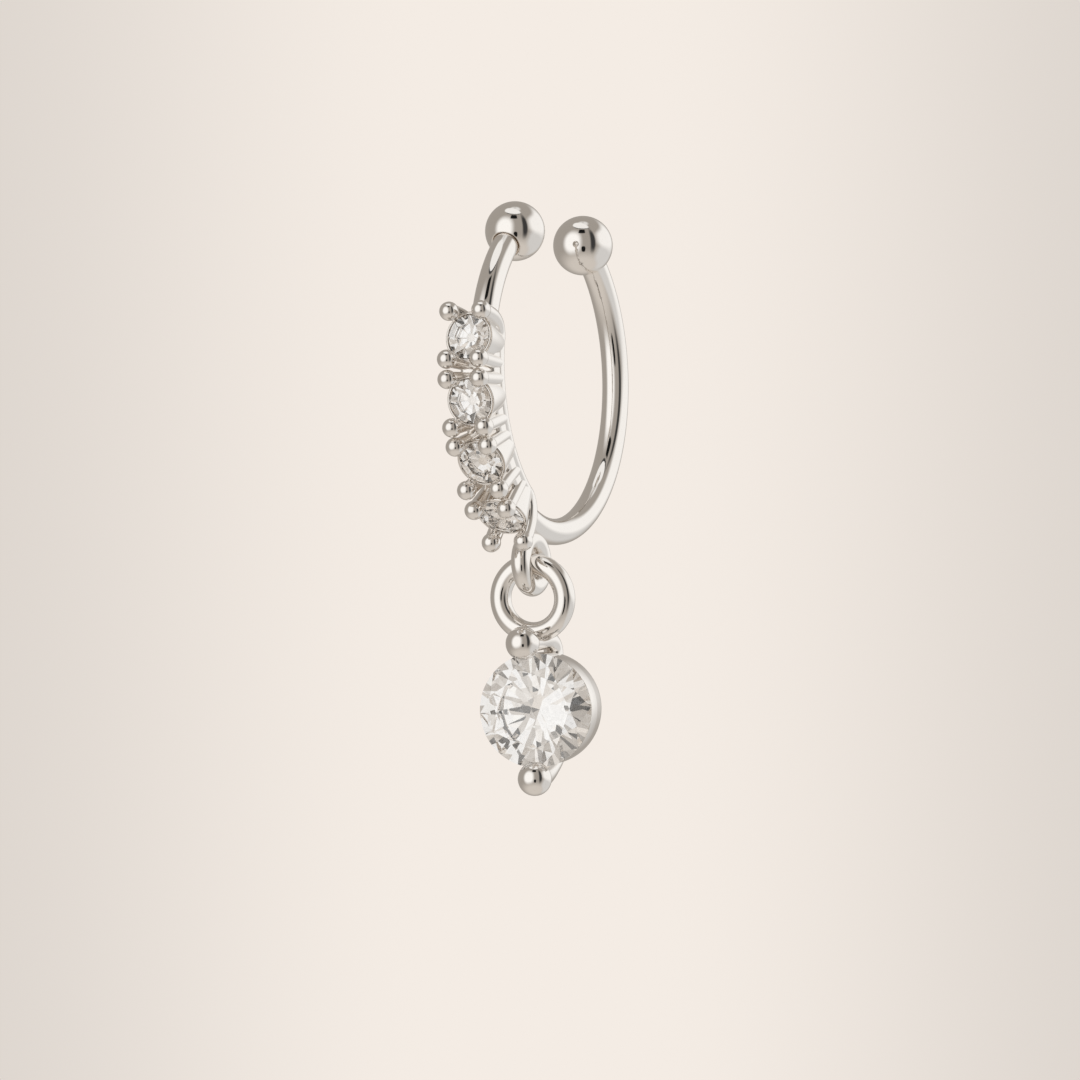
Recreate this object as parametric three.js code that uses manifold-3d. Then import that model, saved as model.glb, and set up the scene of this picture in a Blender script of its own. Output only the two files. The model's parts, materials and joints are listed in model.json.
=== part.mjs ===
// A clip-on nose ring. An open oval hoop of round wire ends in two drilled beads, which
// hold the nose between them. A row of four claw-set stones runs down one side of the
// hoop, and an eye soldered under it carries a drop: a ring, a cup with two claws, and a
// larger round stone. Sizes are millimetres, +Z is up and the hoop lies in the X-Z plane.
// The origin is the middle of the gap between the two beads.
import * as THREE from 'three';
import { mergeVertices } from 'three/addons/utils/BufferGeometryUtils.js';
import Module from 'manifold-3d';

const wasm = await Module();
wasm.setup();

// Driving dimensions.
const CLEARANCE = 0.03; // gap between pieces that touch on the real thing
const LINK_CLEARANCE = 0.07; // the same between the eye's wire and the drop ring's
const HOOP_HALF_WIDTH = 5.2; // centre line of the oval hoop
const HOOP_HALF_HEIGHT = 5.4;
const WIRE_RADIUS = 0.45;
const WIRE_SIDES = 12;
const WIRE_STEPS = 42;
const GAP_HALF_ANGLE = THREE.MathUtils.degToRad(30.6); // from straight up to each bead
const BEAD_RADIUS = 1.02;
const BEAD_SIDES = 24;
const SOCKET_DEPTH = 0.7; // how far the wire enters a bead
const SOCKET_REACH = 1.4; // the socket's cut starts this far out, in bead radii
const SOCKET_STEPS = 4;

const EYE_RADIUS = 0.8;
const EYE_WIRE_RADIUS = 0.34;
const EYE_X = -1.38;
const EYE_BELOW_HOOP_CENTRE = 6.6;

const DROP_RING_RADIUS = 1.17;
const DROP_RING_WIRE_RADIUS = 0.36;
const DROP_YAW = THREE.MathUtils.degToRad(4); // turned from -X towards -Y
const DROP_PITCH = THREE.MathUtils.degToRad(8); // the heavy face tips down a little
const DROP_LEAN = THREE.MathUtils.degToRad(-0.95); // about +X: its weight is plumb under the eye
const DROP_AXIS_BELOW_EYE = 4.19; // stone axis below the eye wire that carries the drop
const DROP_CUP_TURN = THREE.MathUtils.degToRad(8); // the cup and its stone in their claws
const DROP_OFF_CENTRE = 0.05; // the drop ring sits this far from the middle of that wire, to +X
const LINK_SIDES = 12; // round the wire of the eye and of the drop ring
const LINK_STEPS = 28;

// The stones: radius, height of the widest line (above the hoop's centre line, or in front
// of the drop ring's plane), and sides.
const ROW_STONE = { radius: 0.75, girdleHeight: 1.02, sides: 16 };
const DROP_STONE = { radius: 1.95, girdleHeight: 0.62, sides: 24 };

// A round brilliant's outline, as shares of its radius.
const STONE_CUT = { girdle: 0.035, pavilion: 0.86, table: 0.58, crown: 0.3 };

// How far each corner of a stone's outline moves when the stone is grown, as shares of the
// growth. The sloping faces need more than the girdle to move out by the whole of it.
const STONE_GROWTH = { point: 1.3, girdleEdge: 0.4, table: 0.4 };

// The row stones' seats: the angle from straight down, towards -X, and how far the feet of a
// seat's claws are set on towards the row's end.
const ROW_SEATS = [
  { angle: -96.4, feetOnward: 0 },
  { angle: -76.7, feetOnward: 0.1 },
  { angle: -57.0, feetOnward: 0.25 },
  { angle: -35.8, feetOnward: 0.3 },
];

// Section of the band under the stone row, as half-sizes at its ends and along it.
const BAND = {
  startAngle: THREE.MathUtils.degToRad(-107),
  endAngle: THREE.MathUtils.degToRad(-24),
  endHalfWidth: 0.46,
  halfWidth: 0.66,
  halfThickness: 0.45,
  taper: 0.9, // length over which an end widens
  squareness: 0.6, // exponent of the section's outline: 1 is an ellipse, 0 a rectangle
  sides: 16,
  steps: 24,
};

// A row cup's wall as [radius, height above the hoop's centre line].
const ROW_CUP = [[0.25, -0.25], [0.72, -0.25], [0.885, 1.01], [0.86, 1.08], [0.79, 1.08],
  [0.5, 0.45], [0.25, 0.3]];
const ROW_CUP_SIDES = 18;

// The rails beside the band, one on each side. A rail turns up at both ends into the row's
// end claws.
const RAIL = {
  side: 0.45,
  height: -0.2,
  startAngle: THREE.MathUtils.degToRad(-100),
  endAngle: THREE.MathUtils.degToRad(-32),
  radius: 0.27,
  sides: 8,
  spans: 10, // points taken along the hoop
  steps: 44,
};

// An end claw from its ball down to the rail. Side is the way across the row, along the way
// from the stone's axis to the row's end, and height is above the hoop's centre line.
const END_CLAW = [
  { side: 0.605, along: 0.83, height: 1.44 },
  { side: 0.595, along: 0.845, height: 1.0 },
  { side: 0.55, along: 0.8, height: 0.45 },
  { side: 0.49, along: 0.64, height: 0.02 },
];

// An inner claw of the row, straight from the rail to its ball.
const ROW_CLAW = {
  radius: 0.265,
  sides: 8,
  foot: { side: 0.45, along: 0.68, height: -0.2 },
  tip: END_CLAW[0],
};
const ROW_BALL = { radius: 0.33, sides: 10 };

// The drop cup's wall as [radius, distance in front of the drop ring's plane].
const DROP_CUP = [[1.52, 0.12], [1.45, -0.8], [1.1, -1.55], [1.2, -1.74], [1.55, -1.62],
  [1.82, -1.3], [1.92, -0.9], [1.93, -0.3], [1.9, 0.44]];
const DROP_CUP_SIDES = 28;

// The drop claws. Way is +1 above the stone and -1 below it. The line is a claw's centre
// line as [distance from the stone's axis, distance in front], from the cup's back.
const DROP_CLAWS = [
  {
    way: 1,
    rootRadius: 0.33,
    neckRadius: 0.33,
    line: [[1.4, -1.5], [2.0, -1.55], [2.3, -1.1], [2.32, 0.1], [2.32, 1.2]],
  },
  {
    way: -1,
    rootRadius: 0.18,
    neckRadius: 0.46,
    line: [[1.35, -1.6], [1.72, -1.35], [2.02, -0.65], [2.24, 0.1], [2.32, 0.92]],
  },
];
const DROP_CLAW_SIDES = 10;
const DROP_CLAW_STEPS = 10;
const DROP_BALL = { radius: 0.58, sides: 16 };

const HOOP_CENTRE = new THREE.Vector3(0, 0, HOOP_HALF_HEIGHT * Math.cos(Math.PI - GAP_HALF_ANGLE));
const Y_AXIS = new THREE.Vector3(0, 1, 0);

// Solids -----------------------------------------------------------------------------

// A closed geometry as a solid that can be joined and cut.
function solidFrom(geometry) {
  const bare = geometry.index ? geometry.toNonIndexed() : geometry.clone();
  bare.deleteAttribute('normal');
  bare.deleteAttribute('uv');
  const merged = mergeVertices(bare, 1e-5);
  const mesh = new wasm.Mesh({
    numProp: 3,
    vertProperties: new Float32Array(merged.attributes.position.array),
    triVerts: new Uint32Array(merged.index.array),
  });
  mesh.merge();
  return new wasm.Manifold(mesh);
}

function geometryFrom(solid) {
  const mesh = solid.getMesh();
  const geometry = new THREE.BufferGeometry();
  geometry.setAttribute('position', new THREE.BufferAttribute(mesh.vertProperties, 3));
  geometry.setIndex(new THREE.BufferAttribute(mesh.triVerts, 1));
  geometry.computeVertexNormals();
  return geometry;
}

function joined(geometries) {
  return geometries.map(solidFrom).reduce((sum, solid) => sum.add(solid));
}

// Shapes -----------------------------------------------------------------------------

// A closed skin over rings of points, with a flat cap at each end.
function loft(rings) {
  const count = rings[0].length;
  const points = rings.flat();
  const index = [];
  for (let row = 0; row + 1 < rings.length; row += 1) {
    for (let i = 0; i < count; i += 1) {
      const a = row * count + i;
      const b = row * count + ((i + 1) % count);
      index.push(a, b + count, b, a, a + count, b + count);
    }
  }
  const last = (rings.length - 1) * count;
  for (let i = 1; i + 1 < count; i += 1) {
    index.push(0, i, i + 1, last, last + i + 1, last + i);
  }
  const geometry = new THREE.BufferGeometry().setFromPoints(points);
  geometry.setIndex(index);
  return geometry;
}

// A round tube along a curve, with flat ends. Its radius grows evenly from the start's to
// the end's. Across is a direction that the curve never runs in.
function tube(curve, [startRadius, endRadius], sides, steps, across = Y_AXIS) {
  const rings = [];
  for (let step = 0; step <= steps; step += 1) {
    const middle = curve.getPoint(step / steps);
    const along = curve.getTangent(step / steps);
    const level = across.clone().cross(along).normalize();
    const upright = level.clone().cross(along);
    const radius = THREE.MathUtils.lerp(startRadius, endRadius, step / steps);
    rings.push(Array.from({ length: sides }, (_, i) => {
      const turn = (2 * Math.PI * i) / sides;
      return middle.clone()
        .addScaledVector(level, radius * Math.cos(turn))
        .addScaledVector(upright, radius * Math.sin(turn));
    }));
  }
  return loft(rings);
}

function ball(centre, radius, sides) {
  const sphere = new THREE.SphereGeometry(radius, sides, Math.round(sides * 0.6));
  return sphere.translate(centre.x, centre.y, centre.z);
}

// A closed profile of [radius, height] turned about the local Z axis, then set in a frame.
function turned(profile, sides, frame) {
  const points = profile.map(([radius, height]) => new THREE.Vector2(radius, height));
  return new THREE.LatheGeometry(points, sides).rotateX(Math.PI / 2).applyMatrix4(frame);
}

// The outline of a round brilliant as [radius, height from the girdle], grown all round.
function stoneProfile(radius, grow) {
  const girdle = STONE_CUT.girdle * radius;
  const top = STONE_CUT.crown * radius + grow;
  return [
    [0, -STONE_CUT.pavilion * radius - girdle - grow * STONE_GROWTH.point],
    [radius + grow, -girdle - grow * STONE_GROWTH.girdleEdge],
    [radius + grow, girdle + grow * STONE_GROWTH.girdleEdge],
    [STONE_CUT.table * radius + grow * STONE_GROWTH.table, top],
    [0, top],
  ];
}

// A stone in its seat, grown all round when it serves to cut the metal.
function stone({ radius, girdleHeight, sides }, seat, grow = 0) {
  const lift = new THREE.Matrix4().makeTranslation(0, 0, girdleHeight);
  return solidFrom(turned(stoneProfile(radius, grow), sides, seat.clone().multiply(lift)));
}

// Hoop -------------------------------------------------------------------------------

// A point on the hoop's centre line. The angle is from straight down, towards +X.
function hoopPoint(angle) {
  return new THREE.Vector3(
    HOOP_HALF_WIDTH * Math.sin(angle), 0, -HOOP_HALF_HEIGHT * Math.cos(angle),
  ).add(HOOP_CENTRE);
}

// Unit vectors at a point of the hoop: along it (rising angle) and outward.
function hoopDirections(angle) {
  const along = new THREE.Vector3(
    HOOP_HALF_WIDTH * Math.cos(angle), 0, HOOP_HALF_HEIGHT * Math.sin(angle),
  ).normalize();
  return { along, outward: new THREE.Vector3(along.z, 0, -along.x) };
}

class HoopCurve extends THREE.Curve {
  constructor(startAngle, endAngle) {
    super();
    this.startAngle = startAngle;
    this.endAngle = endAngle;
  }

  getPoint(t, target = new THREE.Vector3()) {
    return target.copy(hoopPoint(THREE.MathUtils.lerp(this.startAngle, this.endAngle, t)));
  }
}

// The angle at which the wire ends inside a bead.
const wireEndAngle = Math.PI - GAP_HALF_ANGLE
  - (BEAD_RADIUS - SOCKET_DEPTH) / HOOP_HALF_HEIGHT;

function hoopWire() {
  const oval = new HoopCurve(-wireEndAngle, wireEndAngle);
  return tube(oval, [WIRE_RADIUS, WIRE_RADIUS], WIRE_SIDES, WIRE_STEPS);
}

const eyeCentre = new THREE.Vector3(EYE_X, 0, HOOP_CENTRE.z - EYE_BELOW_HOOP_CENTRE);

function eye() {
  return new THREE.TorusGeometry(EYE_RADIUS, EYE_WIRE_RADIUS, LINK_SIDES, LINK_STEPS)
    .rotateX(Math.PI / 2)
    .translate(eyeCentre.x, eyeCentre.y, eyeCentre.z);
}

// Stone row --------------------------------------------------------------------------

// The frame of a row stone: local X across the row, Y along it and Z outward, with its
// origin on the hoop's centre line.
function rowFrame(seat) {
  const angle = THREE.MathUtils.degToRad(seat.angle);
  const { along, outward } = hoopDirections(angle);
  return new THREE.Matrix4().makeBasis(Y_AXIS, along, outward).setPosition(hoopPoint(angle));
}

// A power that keeps its number's sign.
function signedPower(value, exponent) {
  return Math.sign(value) * Math.abs(value) ** exponent;
}

// One ring of the band: a rounded rectangle that narrows towards the band's ends.
function bandSection(angle) {
  const { outward } = hoopDirections(angle);
  const fromEnd = HOOP_HALF_HEIGHT * Math.min(angle - BAND.startAngle, BAND.endAngle - angle);
  const ease = Math.sqrt(1 - (1 - Math.min(fromEnd / BAND.taper, 1)) ** 2);
  const halfWidth = THREE.MathUtils.lerp(BAND.endHalfWidth, BAND.halfWidth, ease);
  const ring = [];
  for (let i = 0; i < BAND.sides; i += 1) {
    const turn = (2 * Math.PI * (i + 0.5)) / BAND.sides;
    const across = signedPower(Math.cos(turn), BAND.squareness) * halfWidth;
    const height = signedPower(Math.sin(turn), BAND.squareness) * BAND.halfThickness;
    ring.push(hoopPoint(angle).addScaledVector(Y_AXIS, across).addScaledVector(outward, height));
  }
  return ring;
}

function rowBand() {
  const rings = [];
  for (let i = 0; i <= BAND.steps; i += 1) {
    const even = i / BAND.steps;
    const crowded = 0.5 - 0.5 * Math.cos(Math.PI * even); // closer together at the ends
    rings.push(bandSection(THREE.MathUtils.lerp(BAND.startAngle, BAND.endAngle, crowded)));
  }
  return loft(rings);
}

function rowCup(seat) {
  return turned([...ROW_CUP, ROW_CUP[0]], ROW_CUP_SIDES, rowFrame(seat));
}

// A named place on a claw of a seat. Way is -1 towards the row's start and +1 to its end.
function clawPoint(seat, { side, along, height }, sideSign, way) {
  return new THREE.Vector3(sideSign * side, way * along, height).applyMatrix4(rowFrame(seat));
}

// A rail with its two end claws and their balls.
function rail(sideSign) {
  const first = END_CLAW.map((point) => clawPoint(ROW_SEATS[0], point, sideSign, -1));
  const last = END_CLAW.map((point) => clawPoint(ROW_SEATS.at(-1), point, sideSign, 1));
  const beside = [];
  for (let i = 0; i <= RAIL.spans; i += 1) {
    const angle = THREE.MathUtils.lerp(RAIL.startAngle, RAIL.endAngle, i / RAIL.spans);
    beside.push(hoopPoint(angle).addScaledVector(Y_AXIS, sideSign * RAIL.side)
      .addScaledVector(hoopDirections(angle).outward, RAIL.height));
  }
  const path = new THREE.CatmullRomCurve3([...first, ...beside, ...last.reverse()]);
  return [
    tube(path, [RAIL.radius, RAIL.radius], RAIL.sides, RAIL.steps),
    ball(path.getPoint(0), ROW_BALL.radius, ROW_BALL.sides),
    ball(path.getPoint(1), ROW_BALL.radius, ROW_BALL.sides),
  ];
}

// An inner claw and its ball, on a seat.
function rowClaw(seat, sideSign, way) {
  const { foot, tip, radius, sides } = ROW_CLAW;
  const set = { ...foot, along: foot.along + way * seat.feetOnward };
  const end = clawPoint(seat, tip, sideSign, way);
  const path = new THREE.LineCurve3(clawPoint(seat, set, sideSign, way), end);
  return [tube(path, [radius, radius], sides, 1), ball(end, ROW_BALL.radius, ROW_BALL.sides)];
}

function rowClaws() {
  const claws = [];
  for (const sideSign of [-1, 1]) {
    claws.push(...rail(sideSign));
    for (const seat of ROW_SEATS.slice(1)) claws.push(...rowClaw(seat, sideSign, -1));
    for (const seat of ROW_SEATS.slice(0, -1)) claws.push(...rowClaw(seat, sideSign, 1));
  }
  return claws;
}

function ringFrame() {
  let solid = joined([hoopWire(), rowBand(), eye(), ...ROW_SEATS.map(rowCup), ...rowClaws()]);
  for (const seat of ROW_SEATS) {
    solid = solid.subtract(stone(ROW_STONE, rowFrame(seat), CLEARANCE));
  }
  return geometryFrom(solid);
}

// Beads ------------------------------------------------------------------------------

// A drilled bead on the hoop's end. Side is -1 at the stone row's end and +1 at the other.
function endBead(side) {
  const endAngle = side * (Math.PI - GAP_HALF_ANGLE);
  const socketAngle = side * (wireEndAngle + CLEARANCE / HOOP_HALF_HEIGHT);
  const mouthAngle = endAngle - side * SOCKET_REACH * BEAD_RADIUS / HOOP_HALF_HEIGHT;
  const mouth = new HoopCurve(mouthAngle, socketAngle);
  const hole = WIRE_RADIUS + CLEARANCE;
  const socket = tube(mouth, [hole, hole], WIRE_SIDES, SOCKET_STEPS);
  const bead = solidFrom(ball(hoopPoint(endAngle), BEAD_RADIUS, BEAD_SIDES));
  return geometryFrom(bead.subtract(solidFrom(socket)));
}

// Drop -------------------------------------------------------------------------------

// The frame of the drop: X across it, Y up and Z out of its face, with its origin on the
// centre line of the eye's lowest wire, which carries it.
function dropFrame() {
  const facing = new THREE.Vector3(-Math.cos(DROP_YAW), -Math.sin(DROP_YAW), 0);
  const front = facing.clone().multiplyScalar(Math.cos(DROP_PITCH));
  front.z = -Math.sin(DROP_PITCH);
  const across = new THREE.Vector3(0, 0, 1).cross(facing).normalize();
  const up = front.clone().cross(across);
  const pivot = eyeCentre.clone().add(new THREE.Vector3(DROP_OFF_CENTRE, 0, -EYE_RADIUS));
  const faced = new THREE.Matrix4().makeBasis(across, up, front);
  return new THREE.Matrix4().makeRotationX(DROP_LEAN).multiply(faced).setPosition(pivot);
}

const dropRingTop = EYE_WIRE_RADIUS + DROP_RING_WIRE_RADIUS + LINK_CLEARANCE;

function dropRing() {
  return new THREE.TorusGeometry(DROP_RING_RADIUS, DROP_RING_WIRE_RADIUS, LINK_SIDES, LINK_STEPS)
    .translate(0, dropRingTop - DROP_RING_RADIUS, 0)
    .applyMatrix4(dropFrame());
}

// The frame of the drop's head: Z along the stone's axis.
function headFrame() {
  const shift = new THREE.Matrix4().makeTranslation(0, -DROP_AXIS_BELOW_EYE, 0);
  return dropFrame().multiply(shift);
}

// The frame of the cup and its stone, turned a little in the claws.
function cupFrame() {
  return headFrame().multiply(new THREE.Matrix4().makeRotationY(DROP_CUP_TURN));
}

// A claw from the back of the cup to the stone's face, and its ball.
function dropClaw({ way, rootRadius, neckRadius, line }) {
  const head = headFrame();
  const across = new THREE.Vector3().setFromMatrixColumn(head, 0);
  const points = line.map(([away, front]) => new THREE.Vector3(0, way * away, front)
    .applyMatrix4(head));
  const path = new THREE.CatmullRomCurve3(points);
  return [
    tube(path, [rootRadius, neckRadius], DROP_CLAW_SIDES, DROP_CLAW_STEPS, across),
    ball(points.at(-1), DROP_BALL.radius, DROP_BALL.sides),
  ];
}

function dropSetting() {
  const cup = turned([...DROP_CUP, DROP_CUP[0]], DROP_CUP_SIDES, cupFrame());
  const solid = joined([dropRing(), cup, ...DROP_CLAWS.flatMap(dropClaw)]);
  return geometryFrom(solid.subtract(stone(DROP_STONE, cupFrame(), CLEARANCE)));
}

// Assembly ---------------------------------------------------------------------------

const metal = { color: 0xd9d6d2, roughness: 0.08, metalness: 1.0 };
const clearStone = { color: 0xf7f8fa, roughness: 0.02, metalness: 0.0 };

function piece(name, geometry, look) {
  const mesh = new THREE.Mesh(geometry, new THREE.MeshStandardMaterial(look));
  mesh.name = name;
  return mesh;
}

const noseRing = new THREE.Group();
noseRing.add(
  piece('ring_frame', ringFrame(), metal),
  piece('end_bead_front', endBead(-1), metal),
  piece('end_bead_back', endBead(1), metal),
  piece('drop_setting', dropSetting(), metal),
  piece('drop_stone', geometryFrom(stone(DROP_STONE, cupFrame())), clearStone),
);
ROW_SEATS.forEach((seat, index) => {
  const name = `row_stone_${index + 1}`;
  noseRing.add(piece(name, geometryFrom(stone(ROW_STONE, rowFrame(seat))), clearStone));
});

export default noseRing;
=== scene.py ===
"""A clip-on nose ring: an open oval hoop with bead ends, a claw-set stone row and a drop."""
import json
import math

import bpy
import numpy as np
from bpy.props import FloatProperty, FloatVectorProperty, IntProperty, PointerProperty
from bpy.types import Operator, Panel, PropertyGroup
from mathutils import Matrix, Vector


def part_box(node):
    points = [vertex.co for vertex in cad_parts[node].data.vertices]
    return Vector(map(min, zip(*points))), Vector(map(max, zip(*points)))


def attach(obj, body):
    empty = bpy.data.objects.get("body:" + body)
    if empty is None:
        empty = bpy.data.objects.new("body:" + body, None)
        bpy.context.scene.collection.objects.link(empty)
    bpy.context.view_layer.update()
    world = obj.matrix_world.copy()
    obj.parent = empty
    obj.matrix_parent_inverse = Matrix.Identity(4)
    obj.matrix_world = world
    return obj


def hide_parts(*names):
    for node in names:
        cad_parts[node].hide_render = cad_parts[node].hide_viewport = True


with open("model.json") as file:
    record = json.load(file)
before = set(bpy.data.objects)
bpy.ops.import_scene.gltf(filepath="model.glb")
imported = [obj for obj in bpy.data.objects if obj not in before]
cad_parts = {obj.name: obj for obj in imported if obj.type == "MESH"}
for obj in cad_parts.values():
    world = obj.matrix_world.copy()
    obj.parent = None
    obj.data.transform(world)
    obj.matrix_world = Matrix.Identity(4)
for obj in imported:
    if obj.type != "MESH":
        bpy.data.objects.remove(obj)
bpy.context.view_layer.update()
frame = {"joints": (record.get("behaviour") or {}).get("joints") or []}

bl_info = {
    "name": "Nose ring",
    "version": (1, 0, 0),
    "blender": (4, 5, 0),
    "location": "3D View > Sidebar > Nose ring",
    "description": "Makes a clip-on nose ring with a stone row and a drop, and its studio",
    "category": "Object",
}

MM = 0.001
DOWN, UP = -1, 1
FULL_TURN = 2 * math.pi
EIGHTH = FULL_TURN / 8
WORLD_ACROSS = np.array([0.0, 1.0, 0.0])

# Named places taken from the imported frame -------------

BEAD_LOW, BEAD_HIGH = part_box("end_bead_back")
BEAD_RADIUS = float((BEAD_HIGH - BEAD_LOW)[1]) / 2
SWING_POINT = np.array(frame["joints"][0]["pos_m"], float)

# Fineness: steps along a line and sides round it ------

HOOP_STEPS, HOOP_SIDES = 320, 64
BEAD_STEPS, BEAD_LIP_STEPS, BEAD_SIDES = 72, 10, 96
BAND_STEPS = 160
ROW_CUP_SIDES, DROP_CUP_SIDES = 128, 144
SMALL_CORNER, LARGE_CORNER = 6, 8
ROW_CLAW_SIDES, DROP_CLAW_SIDES = 36, 48
CLAW_STEPS, BALL_STEPS = 90, 26
LINK_STEPS, LINK_SIDES = 144, 56
FLOOR_RINGS, FLOOR_SIDES = 12, 96

# Kinds of setting -------------------------------------


def length(name, description, millimetres):
    """A size of the piece, kept in metres and shown as a length."""
    return FloatProperty(name=name, description=description, default=millimetres * MM,
                         unit="LENGTH", precision=5)


def angle(name, description, degrees):
    """An angle, kept in radians and shown in degrees."""
    return FloatProperty(name=name, description=description, default=math.radians(degrees),
                         subtype="ANGLE")


def share(name, description, default):
    """A share of another size."""
    return FloatProperty(name=name, description=description, default=default,
                         subtype="FACTOR", min=0.0)


def colour(name, description, default):
    """A colour, shown as a swatch."""
    return FloatVectorProperty(name=name, description=description, default=default,
                               subtype="COLOR", size=3, min=0.0, max=1.0)


# Sizes and colours ------------------------------------


class HoopSizes(PropertyGroup):
    """The oval hoop of wire and its two drilled beads."""
    half_width: length("Half width", "Half the oval's width, on the wire's middle line", 5.2)
    half_height: length("Half height", "Half the oval's height, on the wire's middle line", 5.4)
    wire_radius: length("Wire radius", "Half the wire's thickness", 0.45)
    gap_half_angle: angle("Gap half angle", "From straight up to each bead's middle", 30.6)
    socket_depth: length("Socket depth", "How far the wire enters a bead", 0.7)
    socket_gap: length("Socket gap", "Space between the wire and the hole it sits in", 0.03)
    socket_lip: length("Socket lip", "Rounding of the hole's edge", 0.035)


class RowSizes(PropertyGroup):
    """The row of claw-set stones down one side of the hoop."""
    stone_radius: length("Stone radius", "Half a row stone's width", 0.75)
    girdle_height: length("Girdle height", "The stones' widest line, above the wire", 1.02)
    band_start: angle("Band start", "Where the band under the stones starts", -107)
    band_end: angle("Band end", "Where the band under the stones ends", -24)
    band_half_width: length("Band half width", "Half the band's width", 0.66)
    band_half_thickness: length("Band half thickness", "Half the band's thickness", 0.45)
    band_taper: length("Band taper", "Length over which an end widens", 0.9)
    band_tip: share("Band tip", "Width of the band's ends, as a share of its own", 0.7)
    band_outer_edge: length("Band outer edge", "Rounding of the edges under the stones", 0.2)
    band_inner_edge: length("Band inner edge", "Rounding of the edges inside the hoop", 0.14)
    rail_side: length("Rail side", "The rails' middle line, from the row's middle plane", 0.45)
    rail_height: length("Rail height", "The rails' middle line, under the wire's", -0.2)
    rail_start: angle("Rail start", "Where the first claws leave the rails", -100)
    rail_end: angle("Rail end", "Where the last claws leave the rails", -32)
    rail_radius: length("Rail radius", "Half a rail's thickness", 0.27)
    claw_radius: length("Claw radius", "Half a claw's thickness", 0.265)
    ball_radius: length("Ball radius", "Radius of the ball on a claw", 0.33)
    tip_side: length("Tip side", "Ball, from the row's middle plane", 0.605)
    tip_along: length("Tip along", "Ball, from the stone's axis along the row", 0.83)
    tip_height: length("Tip height", "Ball, above the wire's middle line", 1.44)
    foot_along: length("Foot along", "Claw's foot, from the stone's axis along the row", 0.68)
    neck_blend: length("Neck blend", "Rounding between a claw and its ball", 0.05)


class DropSizes(PropertyGroup):
    """The eye under the hoop and the drop that hangs in it."""
    eye_radius: length("Eye radius", "The eye's middle line", 0.8)
    eye_wire_radius: length("Eye wire radius", "Half the eye's wire", 0.34)
    ring_radius: length("Ring radius", "The drop ring's middle line", 1.17)
    ring_wire_radius: length("Ring wire radius", "Half the drop ring's wire", 0.36)
    ring_gap: length("Ring gap", "Space between the eye's wire and the ring's", 0.07)
    off_centre: length("Off centre", "The drop ring's place along the eye's wire", 0.05)
    yaw: angle("Turn", "The drop's turn to the front", 4)
    pitch: angle("Tip", "The heavy face tips down", 8)
    lean: angle("Lean", "Its weight hangs plumb under the eye", -0.95)
    stone_radius: length("Stone radius", "Half the drop stone's width", 1.95)
    stone_below: length("Stone below", "The stone's axis, under the eye's lowest wire", 4.19)
    girdle_forward: length("Girdle forward", "The stone's widest line, before the ring", 0.62)
    cup_turn: angle("Cup turn", "The cup and its stone, turned in their claws", 8)
    ball_radius: length("Ball radius", "Radius of the ball on a drop claw", 0.58)
    neck_blend: length("Neck blend", "Rounding between a claw and its ball", 0.1)


class CutSizes(PropertyGroup):
    """The cut of the stones, as shares of the stone's radius."""
    table: share("Table", "Radius of the flat top's corners", 0.66)
    girdle: share("Girdle", "Half the thickness of the widest line", 0.035)
    crown: share("Crown", "Height of the flat top over the girdle's edge", 0.205)
    pavilion: share("Pavilion", "Depth of the point under the girdle's edge", 0.86)
    star: share("Star", "Radius where the star facets end", 0.82)
    lower_half: share("Lower halves", "Radius where the lower halves end", 0.22)
    small_table: share("Small table", "The row stones' table", 0.6)
    small_girdle: share("Small girdle", "Half the thickness of their widest line", 0.085)
    outline: IntProperty(name="Outline", description="Straight edges of the outline", default=64)


class Finish(PropertyGroup):
    """Colours of the metal, the stones and the stage."""
    metal: colour("Metal", "Polished white plating", (0.866, 0.836, 0.803))
    stone: colour("Stone", "Clear stone", (0.994, 0.975, 0.952))
    backdrop: colour("Backdrop", "Plain pale backdrop", (0.905, 0.838, 0.777))
    floor: colour("Floor", "Plain pale floor", (0.86, 0.80, 0.745))


class View(PropertyGroup):
    """The camera, the floor's place and how the stones see the light tent."""
    azimuth: angle("Azimuth", "The camera's place round the ring", -64)
    elevation: angle("Elevation", "The camera's height over the horizon", -5.25)
    width: length("Width", "What the picture spans", 36.86)
    aim_right: length("Aim right", "Picture's middle, right of the hoop's middle", -0.31)
    aim_up: length("Aim up", "Picture's middle, above the hoop's middle", -5.67)
    floor_below: length("Floor below", "The floor, under the gap between the beads", 60)
    floor_radius: length("Floor radius", "Half the floor's width", 150)
    stone_contrast: FloatProperty(name="Stone contrast", default=1.08,
                                  description="How much more contrast the stones see")
    stone_lift: FloatProperty(name="Stone lift", default=0.08,
                              description="What the stones' light is moved by")
    stone_top: FloatProperty(name="Stone top", default=0.95,
                             description="The brightest light that the stones see")
    lens: FloatProperty(name="Lens", description="A long lens keeps the sides parallel",
                        default=800.0, unit="CAMERA", max=5000.0)


def settings(context):
    return context.scene.nose_ring


# Meshes from arrays -----------------------------------


def unit(vectors):
    return vectors / np.linalg.norm(vectors, axis=-1, keepdims=True)


def place(points, seat):
    """Local points in a seat, which is an origin and three rows of unit axes."""
    origin, axes = seat
    return origin + points @ axes


def quads(rows, columns, wrap):
    """Corner numbers of the quads between rows of points. Columns wrap, rows only if told."""
    row = np.arange(rows if wrap else rows - 1)[:, None]
    column = np.arange(columns)[None, :]
    here, ahead = row * columns, (row + 1) % rows * columns
    beside = (column + 1) % columns
    corners = np.broadcast_arrays(here + column, here + beside, ahead + beside, ahead + column)
    return np.stack(corners, -1).reshape(-1, 4)


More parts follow.
